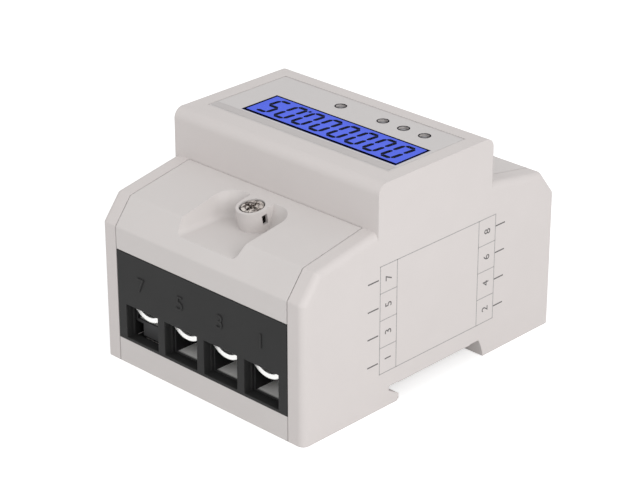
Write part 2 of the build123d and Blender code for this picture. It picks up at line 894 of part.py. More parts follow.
def build_current_transformer(x, name):
    """Potted current transformer on the base, with two pins up to the board."""
    top = ct_centre_z + ct_bore + ct_head
    with BuildPart() as transformer:
        slab((x - ct_width / 2, x + ct_width / 2), span(ct_depth / 2), (base_top, top))
        fillet(transformer.edges().filter_by(Axis.Y).group_by(Axis.Z)[-1], ct_round)
        with BuildSketch(Plane.XZ):
            with Locations((x, ct_centre_z)):
                Circle(ct_bore)
        extrude(amount=ct_depth, both=True, mode=Mode.SUBTRACT)
        with Locations(*[(x + s * ct_width / 4, 0, top) for s in (-1, 1)]):
            Cylinder(pin_radius, main_board_z - top, align=(Align.CENTER, Align.CENTER, Align.MIN))
    finish(transformer, name)


for phase, phase_x in enumerate(reversed(terminal_places[1:])):
    build_current_transformer(phase_x, f"current_transformer_{phase + 1}")


# Main board and what stands on it
with BuildPart() as main_board:
    slab(span(board_half_x), span(board_half_y), (main_board_z, main_top))
    with Locations(*[(x, y, main_top) for x, y in post_places]):
        Hole(small_screw_radius + screw_slip)
    fillet(main_board.edges().filter_by(Axis.Z).group_by(Axis.Z)[0].filter_by(GeomType.LINE), 1.0)
finish(main_board, "main_board")

with BuildPart() as power_transformer:
    transformer_x = (transformer_start, transformer_start + transformer_length)
    winding_x = (transformer_x[0] + transformer_step, transformer_x[1] - transformer_step)
    winding_z = (main_top + transformer_flange, main_top + transformer_height)
    slab(transformer_x, span(transformer_depth / 2), (main_top, main_top + transformer_flange))
    slab(winding_x, span(transformer_depth / 2 - transformer_step), winding_z)
    fillet(power_transformer.edges().filter_by(Axis.Z).group_by(Axis.Z)[-1], 1.2)
finish(power_transformer, "power_transformer")

with BuildPart() as film_capacitor:
    with Locations((film_x, film_y, main_top + film_height / 2)):
        Box(film_length, film_depth, film_height)
    fillet(film_capacitor.edges().filter_by(Axis.Z), 0.8)
finish(film_capacitor, "film_capacitor")


def build_electrolytic(y, name):
    """Round capacitor with a crimped groove near its foot."""
    with BuildPart() as can:
        with BuildSketch(Plane.XZ):
            with BuildLine():
                Polyline(
                    (0, 0),
                    (can_radius, 0),
                    (can_radius, 5 * can_crimp),
                    (can_radius - can_crimp, 6.5 * can_crimp),
                    (can_radius, 8 * can_crimp),
                    (can_radius, can_height - 2 * can_crimp),
                    (can_radius - 2 * can_crimp, can_height),
                    (0, can_height),
                    close=True,
                )
            make_face()
        revolve(axis=Axis.Z)
    with BuildPart() as placed:
        add(can.part.translate((0, y, main_top)))
    finish(placed, name)


build_electrolytic(can_first_y, "electrolytic_1")
build_electrolytic(can_second_y, "electrolytic_2")

with BuildPart() as varistor:
    with BuildSketch(Plane.XZ.offset(-varistor_y)):
        with Locations((varistor_x, main_top + varistor_radius + varistor_lift)):
            Circle(varistor_radius)
        with Locations((varistor_x, main_top)):
            Rectangle(varistor_foot, varistor_radius / 2, align=(Align.CENTER, Align.MIN))
    extrude(amount=varistor_thick / 2, both=True)
finish(varistor, "varistor")

with BuildPart() as meter_chip:
    with Locations((link_x - link_to_chip, 0, main_top + chip_height / 2)):
        Box(meter_chip_side, meter_chip_side, chip_height)
    chamfer(meter_chip.edges().group_by(Axis.Z)[-1], chip_bevel)
finish(meter_chip, "meter_chip")

# Pin strip that joins the two boards
with BuildPart() as board_link:
    link_half = pin_pitch / 2
    strip_half = pin_count * link_half
    for strip_z in (main_top, display_board_z - pin_pitch):
        slab((link_x - link_half, link_x + link_half), span(strip_half), (strip_z, strip_z + pin_pitch))
    with Locations((link_x, 0, (main_top + display_board_z) / 2)):
        with GridLocations(0, pin_pitch, 1, pin_count):
            Box(pin_side, pin_side, display_board_z - main_top - pin_pitch)
finish(board_link, "board_link")


# Display board with the controller, display, light guide and indicators
with BuildPart() as display_board:
    slab(
        span(room_x - board_gap),
        span(ceiling_boss_y + ceiling_boss_radius),
        (display_board_z, display_top),
    )
    with Locations(*[(x, y, display_top) for x, y in ceiling_places]):
        Hole(small_screw_radius + screw_slip)
finish(display_board, "display_board")

with BuildPart() as controller_chip:
    with Locations((0, 0, display_board_z - chip_height / 2)):
        Box(controller_chip_side, controller_chip_side, chip_height)
    chamfer(controller_chip.edges().group_by(Axis.Z)[0], chip_bevel)
finish(controller_chip, "controller_chip")

lcd_x = (window_x - lcd_width / 2, window_x + lcd_width / 2)
lcd_y = (window_y - lcd_depth / 2, window_y + lcd_depth / 2)
with BuildPart() as light_guide:
    slab(lcd_x, lcd_y, (display_top, lcd_top - lcd_thick))
    fillet(light_guide.edges().filter_by(Axis.Z), 0.8)
finish(light_guide, "light_guide")

with BuildPart() as lcd:
    slab(lcd_x, lcd_y, (lcd_top - lcd_thick, lcd_top))
finish(lcd, "lcd")

with BuildPart() as nameplate:
    with BuildSketch(Plane.XY.offset(nameplate_z)):
        with Locations((0, (nameplate_front + nameplate_back) / 2)):
            RectangleRounded(
                nameplate_width - nameplate_play,
                nameplate_back - nameplate_front - nameplate_play,
                0.6,
            )
        with Locations((window_x, window_y)):
            Rectangle(glass_window_width, glass_window_depth, mode=Mode.SUBTRACT)
        with Locations(*[(x, led_y) for x in led_places]):
            Circle(led_radius + led_hole_gap, mode=Mode.SUBTRACT)
    extrude(amount=nameplate_thick)
finish(nameplate, "nameplate")

with BuildPart() as display_window:
    with BuildSketch(Plane.XY.offset(lcd_top)):
        with Locations((window_x, window_y)):
            Rectangle(glass_window_width - 0.1, glass_window_depth - 0.1)
    extrude(amount=lcd_drop + nameplate_thick)
finish(display_window, "display_window")


def build_led(x, name):
    """Indicator lamp: flanged body with a domed top just under the face."""
    low = display_top
    top = body_height - led_drop
    dome = led_radius / 2
    dome_radius = (led_radius**2 + dome**2) / (2 * dome)
    dome_mid = (led_radius / 2, top - dome_radius + sqrt(dome_radius**2 - (led_radius / 2) ** 2))
    with BuildPart() as led:
        with BuildSketch(Plane.XZ):
            with BuildLine():
                Polyline(
                    (0, top),
                    (0, low),
                    (led_radius + led_flange, low),
                    (led_radius + led_flange, low + 1.0),
                    (led_radius, low + 1.0),
                    (led_radius, top - dome),
                )
                ThreePointArc((led_radius, top - dome), dome_mid, (0, top))
            make_face()
        revolve(axis=Axis.Z)
    with BuildPart() as placed:
        add(led.part.translate((x, led_y, 0)))
    finish(placed, name)


for led_index, led_x in enumerate(led_places):
    build_led(led_x, f"indicator_{led_index + 1}")


def small_screw(x, y, seat, up):
    """Small pan head screw, its head on the seat and its shaft pointing up or down."""
    shaft = small_screw_length if up else -small_screw_length
    head = -small_head_height if up else small_head_height
    with Locations((x, y, seat + head / 2)):
        Cylinder(small_head_radius, abs(head))
    with Locations((x, y, seat + shaft / 2)):
        Cylinder(small_screw_radius - 2 * thread_fit, abs(shaft))


with BuildPart() as board_screws:
    for screw_x, screw_at in post_places:
        small_screw(screw_x, screw_at, main_top, up=False)
finish(board_screws, "board_screws")

with BuildPart() as display_screws:
    for screw_x, screw_at in ceiling_places:
        small_screw(screw_x, screw_at, display_board_z, up=True)
finish(display_screws, "display_screws")

with BuildPart() as block_screws:
    for screw_x in (-pitch, pitch):
        for screw_at in (-block_screw_y, block_screw_y):
            small_screw(screw_x, screw_at, base_top - base_skin, up=True)
finish(block_screws, "block_screws")


# Rail clip: a flanged slide with a nose, a spring window and a pull slot
with BuildPart() as rail_clip:
    with BuildSketch(Plane.YZ):
        with BuildLine():
            Polyline(
                (clip_end, clip_low),
                (clip_end, clip_top),
                (nose_y + clip_nose_length + clip_nose_rise, clip_top),
                (nose_y + clip_nose_length, nose_top),
                (nose_y, nose_top),
                (nose_y, nose_top - clip_nose_thick),
                (nose_y + clip_lead, clip_low),
                close=True,
            )
        make_face()
    extrude(amount=clip_half, both=True)
    slab(
        span(clip_half + clip_flange),
        (foot_face + foot_lean + 2, clip_end),
        (clip_top - clip_flange_thick, clip_top),
    )
    slab(
        span(post_half + clip_gap),
        (spring_front, post_back_y + clip_gap),
        (-1, channel_top),
        mode=Mode.SUBTRACT,
    )
    with BuildSketch(Plane.XY):
        with Locations((0, (post_back_y + clip_end) / 2 + clip_slot_shift)):
            SlotOverall(clip_slot_length, clip_slot_width)
    extrude(amount=channel_top, mode=Mode.SUBTRACT)
finish(rail_clip, "rail_clip")

# Flat wave spring between the clip's window and the post
with BuildPart() as clip_spring:
    spring_start = spring_front + spring_gap + spring_strip / 2
    spring_end = post_back_y - post_thick - spring_gap - spring_strip / 2
    wave = (spring_end - spring_start) / spring_waves
    with BuildSketch(Plane.XY.offset((clip_low + clip_top) / 2)):
        with BuildLine():
            for turn in range(spring_waves + 1):
                level = spring_start + turn * wave
                Line((-spring_half + wave / 2, level), (spring_half - wave / 2, level))
            for turn in range(spring_waves):
                out = spring_half - wave / 2 if turn % 2 == 0 else -spring_half + wave / 2
                bulge = out + wave / 2 if turn % 2 == 0 else out - wave / 2
                level = spring_start + turn * wave
                ThreePointArc((out, level), (bulge, level + wave / 2), (out, level + wave))
        trace(line_width=spring_strip)
    extrude(amount=spring_height / 2, both=True)
finish(clip_spring, "clip_spring")
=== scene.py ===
# %% [markdown]
# # Dressing a DIN rail energy meter
#
# The meter is a grey box that snaps on a steel rail. Black clamp blocks stand at both ends, each
# under a sloped cover, and a raised block between them carries a blue display and four lamps.
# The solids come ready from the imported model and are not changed. This file gives them their
# finishes, adds what is printed or moulded too finely for solids, and lights the result.

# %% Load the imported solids
import json

import bpy
import numpy as np
from mathutils import Matrix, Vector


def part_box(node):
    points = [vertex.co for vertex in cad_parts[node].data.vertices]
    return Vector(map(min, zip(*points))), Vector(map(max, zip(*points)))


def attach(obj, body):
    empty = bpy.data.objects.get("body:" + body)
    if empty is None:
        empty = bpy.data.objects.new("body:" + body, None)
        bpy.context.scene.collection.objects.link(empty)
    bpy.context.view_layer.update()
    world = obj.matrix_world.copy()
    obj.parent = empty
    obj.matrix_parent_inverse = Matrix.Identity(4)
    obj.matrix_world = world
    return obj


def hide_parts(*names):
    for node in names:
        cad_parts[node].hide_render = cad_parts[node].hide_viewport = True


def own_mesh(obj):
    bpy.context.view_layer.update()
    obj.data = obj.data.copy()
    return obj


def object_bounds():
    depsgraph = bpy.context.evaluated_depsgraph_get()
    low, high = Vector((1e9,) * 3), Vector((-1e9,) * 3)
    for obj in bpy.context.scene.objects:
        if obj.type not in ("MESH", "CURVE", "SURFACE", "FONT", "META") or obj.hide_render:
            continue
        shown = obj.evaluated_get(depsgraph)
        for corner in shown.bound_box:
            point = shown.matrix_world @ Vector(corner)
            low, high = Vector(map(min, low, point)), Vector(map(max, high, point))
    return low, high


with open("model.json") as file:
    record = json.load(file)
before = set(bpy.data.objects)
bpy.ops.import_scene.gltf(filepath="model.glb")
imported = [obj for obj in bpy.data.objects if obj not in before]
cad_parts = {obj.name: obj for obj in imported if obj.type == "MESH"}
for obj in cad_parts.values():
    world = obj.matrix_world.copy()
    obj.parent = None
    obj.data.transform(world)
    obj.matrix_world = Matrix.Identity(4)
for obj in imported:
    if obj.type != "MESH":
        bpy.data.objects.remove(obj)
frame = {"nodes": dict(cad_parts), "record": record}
cad_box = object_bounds()
nodes = frame["nodes"]
mm = 0.001
box_mm = [np.round(np.array(corner) / mm, 1).tolist() for corner in cad_box]
print("solids:", len(nodes), "box in mm:", box_mm)

# %% [markdown]
# ## The camera
#
# The camera of the photograph was found from the corners of the casing: it looks down at 25
# degrees across the corner between the terminal side and the right side. Three unit vectors
# (right, up and back) are the columns of its matrix, so no tracking constraint is needed.

# %% Place the camera
camera_turn = np.radians(44.0)
camera_tilt = np.radians(25.086)
camera_eye = np.array([390.5, -408.9, 294.7]) * mm
focal_pixels = 2266.3
image_width = 640
sensor_mm = 36.0

back = np.array([
    np.sin(camera_turn) * np.cos(camera_tilt),
    -np.cos(camera_turn) * np.cos(camera_tilt),
    np.sin(camera_tilt),
])
right = np.array([np.cos(camera_turn), np.sin(camera_turn), 0.0])
up = np.cross(back, right)

camera_data = bpy.data.cameras.new("photo_camera")
camera_data.sensor_width = sensor_mm
camera_data.lens = focal_pixels / image_width * sensor_mm
camera_data.clip_end = 20.0
camera = bpy.data.objects.new("photo_camera", camera_data)
bpy.context.scene.collection.objects.link(camera)
pose = np.eye(4)
pose[:3, 0], pose[:3, 1], pose[:3, 2], pose[:3, 3] = right, up, back, camera_eye
camera.matrix_world = Matrix(pose.tolist())
bpy.context.scene.camera = camera
print("lens in mm:", round(camera_data.lens, 2))

# %% [markdown]
# ## Small tools for node materials
#
# Every finish is a node tree. These helpers keep the cells short: a new material comes with its
# tree and its shader, an input takes a plain value or another node's output alike, and a screen
# colour is turned into the linear values that shaders use.

# %% Nodes and colours
def linear(red, green, blue):
    """Screen colour 0-255 to linear light: the standard curve, a power of 2.4 above a short toe."""
    screen = np.array([red, green, blue]) / 255
    light = np.where(screen <= 0.04045, screen / 12.92, ((screen + 0.055) / 1.055) ** 2.4)
    return (*light.tolist(), 1.0)


def set_inputs(tree, node, values):
    """Give a node its inputs: a link where the value is another node's output, else the value."""
    for name, value in values.items():
        if isinstance(value, bpy.types.NodeSocket):
            tree.links.new(value, node.inputs[name])
        else:
            node.inputs[name].default_value = value


def add_node(tree, kind, inputs=None, **settings):
    """Add a shader node, then set its properties and its inputs."""
    node = tree.nodes.new(kind)
    for name, value in settings.items():
        setattr(node, name, value)
    set_inputs(tree, node, inputs or {})
    return node


def new_material(name):
    """A material with nodes, its tree and its Principled shader."""
    material = bpy.data.materials.new(name)
    material.use_nodes = True
    return material, material.node_tree, material.node_tree.nodes["Principled BSDF"]


print("grey 200 in linear light:", round(linear(200, 200, 200)[0], 3))

# %% [markdown]
# ## Steps that many finishes share
#
# A finish is mostly the same few steps: noise on object coordinates, a value spread from one range
# to another, two colours blended by a mask, and a height that tilts the normal. Each is one node or
# two, so each is a function that returns the output to carry on with.

# %% Places and directions
def object_place(tree):
    """Object coordinates: they stay with the piece, at true scale."""
    return add_node(tree, "ShaderNodeTexCoord").outputs["Object"]


def axes(tree, vector):
    """The X, Y and Z outputs of a vector."""
    return add_node(tree, "ShaderNodeSeparateXYZ", {"Vector": vector}).outputs


def facing(tree):
    """The X, Y and Z shares of the direction that the surface faces."""
    return axes(tree, add_node(tree, "ShaderNodeNewGeometry").outputs["Normal"])


def stretched(tree, place, scale):
    """Place scaled along each axis: a small scale draws a pattern out along it."""
    return add_node(tree, "ShaderNodeMapping", {"Vector": place, "Scale": scale}).outputs[0]


print("places and directions:", [step.__name__ for step in (object_place, axes, facing, stretched)])

# %% Noise and numbers
def noise(tree, place, scale, detail=2.0, roughness=0.5, distortion=0.0):
    """Smooth random value from 0 to 1; scale is its number of features in a metre."""
    values = {"Vector": place, "Scale": scale, "Detail": detail}
    values |= {"Roughness": roughness, "Distortion": distortion}
    return add_node(tree, "ShaderNodeTexNoise", values).outputs["Fac"]


def spread(tree, value, begin=0.0, end=1.0, low=0.0, high=1.0):
    """Straight line: begin gives low, end gives high, and nothing goes beyond them."""
    ends = {"Value": value, "From Min": begin, "From Max": end, "To Min": low, "To Max": high}
    return add_node(tree, "ShaderNodeMapRange", ends).outputs[0]


def calculate(tree, operation, *terms, **settings):
    """Math node: each term is a number or another node's output."""
    inputs = dict(enumerate(terms))
    return add_node(tree, "ShaderNodeMath", inputs, operation=operation, **settings).outputs[0]


print("noise and numbers:", [step.__name__ for step in (noise, spread, calculate)])

# %% Colours and relief
def blend(tree, share, under, over):
    """Colour that goes from under to over as the share goes from 0 to 1."""
    values = {"Factor": share, "A": under, "B": over}
    return add_node(tree, "ShaderNodeMix", values, data_type="RGBA").outputs["Result"]


def emboss(tree, shader, height, strength, depth, normal=None):
    """Tilt the shader's normal by a height, on top of a normal where one is given."""
    values = {"Height": height, "Strength": strength, "Distance": depth}
    if normal is not None:
        values["Normal"] = normal
    set_inputs(tree, shader, {"Normal": add_node(tree, "ShaderNodeBump", values).outputs["Normal"]})


print("colours and relief:", [step.__name__ for step in (blend, emboss)])

# %% [markdown]
# ## Shared effects
#
# Moulded plastic has a fine grain from the spark-eroded mould, a faint cloudiness where the melt
# cooled unevenly, and edges that are never perfectly sharp. Each effect is a node group, so that
# every plastic can use it with its own strength. Object coordinates keep the grain fixed to the
# piece at true scale. A third group marks floors for the clamps and the base: faces that look up,
# from none at one distance from the middle of the meter to fully marked at another.

# %% Node groups
def new_group(name, inputs, outputs):
    """Node group with typed sockets: inputs are (name, kind, default), outputs are (name, kind)."""
    tree = bpy.data.node_groups.new(name, "ShaderNodeTree")
    for label, kind, default in inputs:
        tree.interface.new_socket(label, in_out="INPUT", socket_type=kind).default_value = default
    for label, kind in outputs:
        tree.interface.new_socket(label, in_out="OUTPUT", socket_type=kind)
    return tree, add_node(tree, "NodeGroupInput").outputs, add_node(tree, "NodeGroupOutput")


def use_group(tree, group, **values):
    """Place a group in a material, set its named inputs and return its outputs."""
    return add_node(tree, "ShaderNodeGroup", values, node_tree=group).outputs


print("node groups so far:", len(bpy.data.node_groups))

# %% Grain of a spark-eroded mould
GRAIN, grain_in, grain_out = new_group(
    "mould_grain",
    [
        ("Size", "NodeSocketFloat", 0.35),
        ("Cloud Size", "NodeSocketFloat", 14.0),
        ("Cloud", "NodeSocketFloat", 0.03),
        ("Colour", "NodeSocketColor", (0.6, 0.6, 0.6, 1)),
    ],
    [
        ("Height", "NodeSocketFloat"),
        ("Colour", "NodeSocketColor"),
        ("Gloss Change", "NodeSocketFloat"),
    ],
)
grain_place = object_place(GRAIN)
# Sizes are in millimetres, and 1000 divided by a size is the number of features in a metre.
fine_scale = calculate(GRAIN, "DIVIDE", 1000.0, grain_in["Size"])
cloud_scale = calculate(GRAIN, "DIVIDE", 1000.0, grain_in["Cloud Size"])
fine = noise(GRAIN, grain_place, fine_scale, detail=3.0, roughness=0.6)
cloud = noise(GRAIN, grain_place, cloud_scale)
strength = calculate(GRAIN, "MULTIPLY", calculate(GRAIN, "SUBTRACT", cloud, 0.5), grain_in["Cloud"])
brightness = calculate(GRAIN, "ADD", strength, 1.0)
tint_inputs = {0: grain_in["Colour"], "Scale": brightness}
tinted = add_node(GRAIN, "ShaderNodeVectorMath", tint_inputs, operation="SCALE").outputs[0]
set_inputs(GRAIN, grain_out, {"Height": fine, "Colour": tinted, "Gloss Change": strength})
print("mould_grain sockets:", [item.name for item in GRAIN.interface.items_tree])

# %% Edges that catch the light
EDGE, edge_in, edge_out = new_group(
    "soft_edge",
    [("Wear", "NodeSocketFloat", 0.3)],
    [("Normal", "NodeSocketVector"), ("Edge", "NodeSocketFloat")],
)
edge_radius = 0.35 * mm
flat_share, round_share = 0.995, 0.9
rounded = add_node(EDGE, "ShaderNodeBevel", {"Radius": edge_radius}, samples=6).outputs[0]
surface = add_node(EDGE, "ShaderNodeNewGeometry").outputs["Normal"]
likeness = add_node(EDGE, "ShaderNodeVectorMath", {0: rounded, 1: surface}, operation="DOT_PRODUCT")
worn = spread(EDGE, likeness.outputs["Value"], flat_share, round_share)
worn = calculate(EDGE, "MULTIPLY", worn, edge_in["Wear"])
set_inputs(EDGE, edge_out, {"Normal": rounded, "Edge": worn})
print("edges are shaded round with a radius of", edge_radius / mm, "mm")

# %% Floors that face up
# This mask places painted light and shade: the lit floors of the clamps and the painted shade on
# the floors of the base.
FLOOR, floor_in, floor_out = new_group(
    "floor_mask",
    [("Begin", "NodeSocketFloat", 0.0), ("Full", "NodeSocketFloat", 1.0)],
    [("Upward", "NodeSocketFloat"), ("Share", "NodeSocketFloat")],
)
upward_begin, upward_full = 0.4, 0.9
upward = spread(FLOOR, facing(FLOOR)["Z"], upward_begin, upward_full)
outward = calculate(FLOOR, "ABSOLUTE", axes(FLOOR, object_place(FLOOR))["Y"])
reach = spread(FLOOR, outward, floor_in["Begin"], floor_in["Full"])
share = calculate(FLOOR, "MULTIPLY", upward, reach)
set_inputs(FLOOR, floor_out, {"Upward": upward, "Share": share})
print("floor_mask sockets:", [item.name for item in FLOOR.interface.items_tree])

# %% [markdown]
# ## Plastics
#
# One function makes every plastic of the meter. The grain colours it and sets the bump, and the
# soft edge gives the normal and a slightly lighter rim. The grey casing is nearly matt, and the
# black clamp blocks, filled with glass fibre, are coarser and duller still. The base gets a dark
# second colour over the first on its floors under the clamps: painted shade of the deep clamp
# pockets, which also stands for the black floor of the block that the solids leave open.

# %% The plastic recipe
materials = {}
rim_lift = 24  # levels of 255 that an edge is lighter than its faces


def plastic(slot, colour, roughness, size=0.35, depth=0.012, cloud=0.05, wear=0.12, shine=0.4):
    """Moulded plastic: colour with cloudiness, bumped by grain and lightened at its edges."""
    material, tree, shader = new_material(slot)
    grain = use_group(tree, GRAIN, Size=size, Cloud=cloud, Colour=linear(*colour))
    edge = use_group(tree, EDGE, Wear=wear)
    rim = linear(*[min(255, level + rim_lift) for level in colour])
    set_inputs(tree, shader, {
        "Specular IOR Level": shine,
        "Base Color": blend(tree, edge["Edge"], grain["Colour"], rim),
        "Roughness": calculate(tree, "ADD", grain["Gloss Change"], roughness, use_clamp=True),
    })
    emboss(tree, shader, grain["Height"], strength=0.6, depth=depth * mm, normal=edge["Normal"])
    materials[slot] = material
    return material


plastic("housing", (211, 205, 203), 0.55)
plastic("base", (210, 205, 203), 0.55)
plastic("terminal_cover", (210, 205, 203), 0.55)
plastic(
    "terminal_block", (37, 37, 37), 0.6, size=0.5, depth=0.02, cloud=0.12, wear=0.05, shine=0.25
)
plastic("transformer_case", (34, 40, 62), 0.4)
plastic("chip", (30, 30, 31), 0.5, size=0.2, wear=0.1)
plastic("capacitor", (28, 32, 60), 0.25, cloud=0.04)
plastic("film", (196, 168, 74), 0.3, cloud=0.05)
plastic("varistor", (42, 84, 150), 0.35, cloud=0.08)
plastic("pin_strip", (32, 32, 32), 0.5)
plastic("clip_plastic", (40, 40, 41), 0.45, wear=0.3)
plastic("light_guide", (226, 232, 238), 0.3)
plastic("nameplate", (202, 198, 197), 0.42, size=0.25, depth=0.004, cloud=0.03, wear=0.1)
print("plastics:", sorted(materials))

# %% Painted shade on the floors under the clamps
floor_begin, floor_full = 30.0 * mm, 31.0 * mm


def darken_floors(material, colour):
    """Painted shade: lay a colour over up-facing faces beyond the rail, on top of what feeds the
    colour.
    """
    tree = material.node_tree
    shader = tree.nodes["Principled BSDF"]
    plain = shader.inputs["Base Color"].links[0].from_socket
    share = use_group(tree, FLOOR, Begin=floor_begin, Full=floor_full)["Share"]
    set_inputs(tree, shader, {"Base Color": blend(tree, share, plain, linear(*colour))})


# Painted shade in the deep clamp pockets, standing also for the block's own black floor that the
# solids leave open.
darken_floors(materials["base"], (24, 24, 24))
print("floors under the clamps are dark beyond", round(floor_begin / mm, 1), "mm")

# %% [markdown]
# ## Metals
#
# The bars are tinned copper, nearly white and softly glossy, and the screws are turned, so their
# marks run round the axis. A stretched noise gives the direction of the marks, and roughness
# follows it.

# %% The metal recipe
mark_depth = 0.006 * mm
stain_size = 4.0 * mm
edge_gain = 1.1  # how many times brighter an edge is than its faces


def metal(
    slot, colour, roughness, stretch=(1, 1, 1), streak=0.12, stain=0.08, body=1.0, relief=0.4
):
    """Plated metal: stretched noise varies roughness and height, slow noise stains the colour."""
    material, tree, shader = new_material(slot)
    place = object_place(tree)
    lines = noise(tree, stretched(tree, place, stretch), scale=4000.0, detail=4.0)
    cloud = noise(tree, place, scale=1 / stain_size, detail=3.0)
    edge = use_group(tree, EDGE, Wear=0.25)
    # The noise is a half on average, so its dark end is twice as dark as the stain.
    stained = linear(*[int(level * (1 - stain * 2)) for level in colour])
    bright = linear(*[min(255, int(level * edge_gain)) for level in colour])
    plain = blend(tree, cloud, linear(*colour), stained)
    set_inputs(tree, shader, {
        "Metallic": body,
        "Roughness": spread(tree, lines, low=roughness - streak, high=roughness + streak),
        "Base Color": blend(tree, edge["Edge"], plain, bright),
    })
    emboss(tree, shader, lines, strength=relief, depth=mark_depth, normal=edge["Normal"])
    materials[slot] = material


metal("screw_steel", (186, 187, 188), 0.34, stretch=(0.2, 0.2, 1))
metal("insert_brass", (196, 164, 96), 0.3)
metal(
    "conductor",
    (254, 254, 252),
    0.3,
    stretch=(1, 0.06, 1),
    streak=0.04,
    stain=0.0,
    body=0.7,
    relief=0.1,
)
metal("spring_steel", (120, 121, 124), 0.35, stretch=(0.3, 0.3, 1))
print("metals and plastics:", len(materials))

# %% [markdown]
# ## Clamps
#
# A clamp is pressed from zinc-plated strip, with rolling lines along it. Its colour is painted
# light and shade by the way each face points: the broad floor, which faces up, is painted bright as
# if lit, edges that face the front are painted dark, and the walls are painted nearly black as
# shade. The normal tells the faces apart, whatever the height of the clamp: its upward share marks
# the lit floor, and its share along X marks the shaded walls. Close to the mouth the floor is
# painted as dark as the edge that it ends in, as shade.

# %% Painted light and shade on the clamps
# The floor is painted dark as shade from 0.4 mm to 1.2 mm inside the mouth.
mouth_shade_begin, mouth_shade_full = 0.4 * mm, 1.2 * mm


def clamp_finish():
    """Painted light and shade: a bright matt floor as if lit, dark edges and nearly black shaded
    walls, with rolling lines along the strip.
    """
    material, tree, shader = new_material("cage_steel")
    mouth = -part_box("cage_clamp_1")[0][1]
    floor = use_group(tree, FLOOR, Begin=mouth - mouth_shade_begin, Full=mouth - mouth_shade_full)
    wall_shade = calculate(tree, "ABSOLUTE", facing(tree)["X"])
    along_strip = stretched(tree, object_place(tree), (1, 0.08, 1))
    lines = noise(tree, along_strip, scale=2600.0, detail=4.0)
    # Painted light: the bright floor colour stands in for light falling on it.
    painted_lit_floor = blend(tree, lines, linear(226, 225, 223), linear(252, 251, 249))
    # Painted shade: edges facing the front are dark and walls facing along X nearly black.
    dark = blend(tree, wall_shade, linear(66, 66, 67), linear(26, 26, 27))
    set_inputs(tree, shader, {
        "Metallic": 0.1,
        "Specular IOR Level": 0.25,
        "Base Color": blend(tree, floor["Share"], dark, painted_lit_floor),
        "Roughness": spread(tree, floor["Upward"], low=0.55, high=0.8),
    })
    emboss(tree, shader, lines, strength=0.4, depth=mark_depth)
    materials["cage_steel"] = material


clamp_finish()
print("clamp finish made")

# %% [markdown]
# ## Sealing screw
#
# The head of the sealing screw is bright nickel, marked by the driver that turned it: dark scuffs
# lie over the bright face, and the rounded rim is dark. The distance from the screw's axis finds
# the rim on both screws, because the back one is the front one turned round.

# %% Scuffed nickel
head_ring = 0.45 * mm
scuff_size = 1.3 * mm
scuff_depth = 0.04 * mm


def seal_screw_finish():
    """Bright head with dark scuffs and a dark rim from head_ring inside its edge."""
    low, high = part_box("seal_screw_front")
    head_radius = (high[0] - low[0]) / 2
    material, tree, shader = new_material("seal_screw")
    place = object_place(tree)
    apart = axes(tree, place)
    outward = calculate(tree, "ABSOLUTE", apart["Y"])
    from_axis = calculate(tree, "SUBTRACT", outward, -low[1] - head_radius)
    flat = add_node(tree, "ShaderNodeCombineXYZ", {"X": apart["X"], "Y": from_axis}).outputs[0]
    radius = add_node(tree, "ShaderNodeVectorMath", {0: flat}, operation="LENGTH").outputs["Value"]
    rim = spread(tree, radius, head_radius - head_ring, head_radius - head_ring / 2)
    marks = noise(tree, place, scale=1 / scuff_size, detail=3.0, distortion=1.2)
    scuffed = calculate(tree, "MAXIMUM", spread(tree, marks, begin=0.44, end=0.56), rim)
    face = blend(tree, scuffed, linear(232, 226, 220), linear(96, 88, 84))
    set_inputs(tree, shader, {
        "Metallic": 0.85,
        "Roughness": 0.24,
        "Base Color": blend(tree, rim, face, linear(44, 40, 38)),
    })
    emboss(tree, shader, marks, strength=0.5, depth=scuff_depth)
    materials["seal_screw"] = material
    print("seal screw head radius in mm:", round(head_radius / mm, 2))


seal_screw_finish()

# %% [markdown]
# ## Boards
#
# The circuit boards are green lacquer over copper. A brick pattern stands for the runs of track
# under the lacquer: it only lightens the green a little and raises it by a few hundredths.

# %% Lacquered board
track_depth = 0.03 * mm


def board_finish():
    """Green lacquer, lighter where copper tracks run beneath it."""
    material, tree, shader = new_material("board")
    tracks = add_node(tree, "ShaderNodeTexBrick", {
        "Vector": object_place(tree),
        "Scale": 220.0,
        "Mortar Size": 0.06,
        "Bias": -0.2,
        "Color1": linear(16, 84, 48),
        "Color2": linear(22, 98, 56),
        "Mortar": linear(70, 138, 84),
    })
    set_inputs(tree, shader, {"Roughness": 0.28, "Base Color": tracks.outputs["Color"]})
    emboss(tree, shader, tracks.outputs["Fac"], strength=0.5, depth=track_depth)
    materials["board"] = material


board_finish()
print("board finish made")

# %% [markdown]
# ## Display, window and lamps
#
# The display is a blue backlit glass. Its light is even apart from a very slight falling off
# towards the ends, where the lamps behind it are further away, so the emission colour follows the
# distance from the middle. The window is a clear anti-glare film: nearly transparent and hardly
# glossy.

# %% Backlit blue
window_low, window_high = (np.array(corner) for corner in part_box("display_window"))
window_middle = (window_low + window_high) / 2
window_half = (window_high - window_low) / 2


def backlight_finish():
    """Blue glow: one blue in the middle blends to a darker one at the rim by scaled distance."""
    material, tree, shader = new_material("lcd")
    scale_inputs = {
        "Vector": object_place(tree),
        "Location": window_middle.tolist(),
        "Scale": (window_half[0], window_half[1], 1.0),
    }
    scaled = add_node(tree, "ShaderNodeMapping", scale_inputs, vector_type="TEXTURE").outputs[0]
    distance = add_node(tree, "ShaderNodeVectorMath", {0: scaled}, operation="LENGTH")
    glow = blend(tree, distance.outputs["Value"], linear(95, 114, 236), linear(90, 109, 232))
    set_inputs(tree, shader, {
        "Roughness": 0.5,
        "Specular IOR Level": 0.0,
        "Base Color": linear(20, 26, 60),
        "Emission Color": glow,
        "Emission Strength": 0.92,
    })
    materials["lcd"] = material


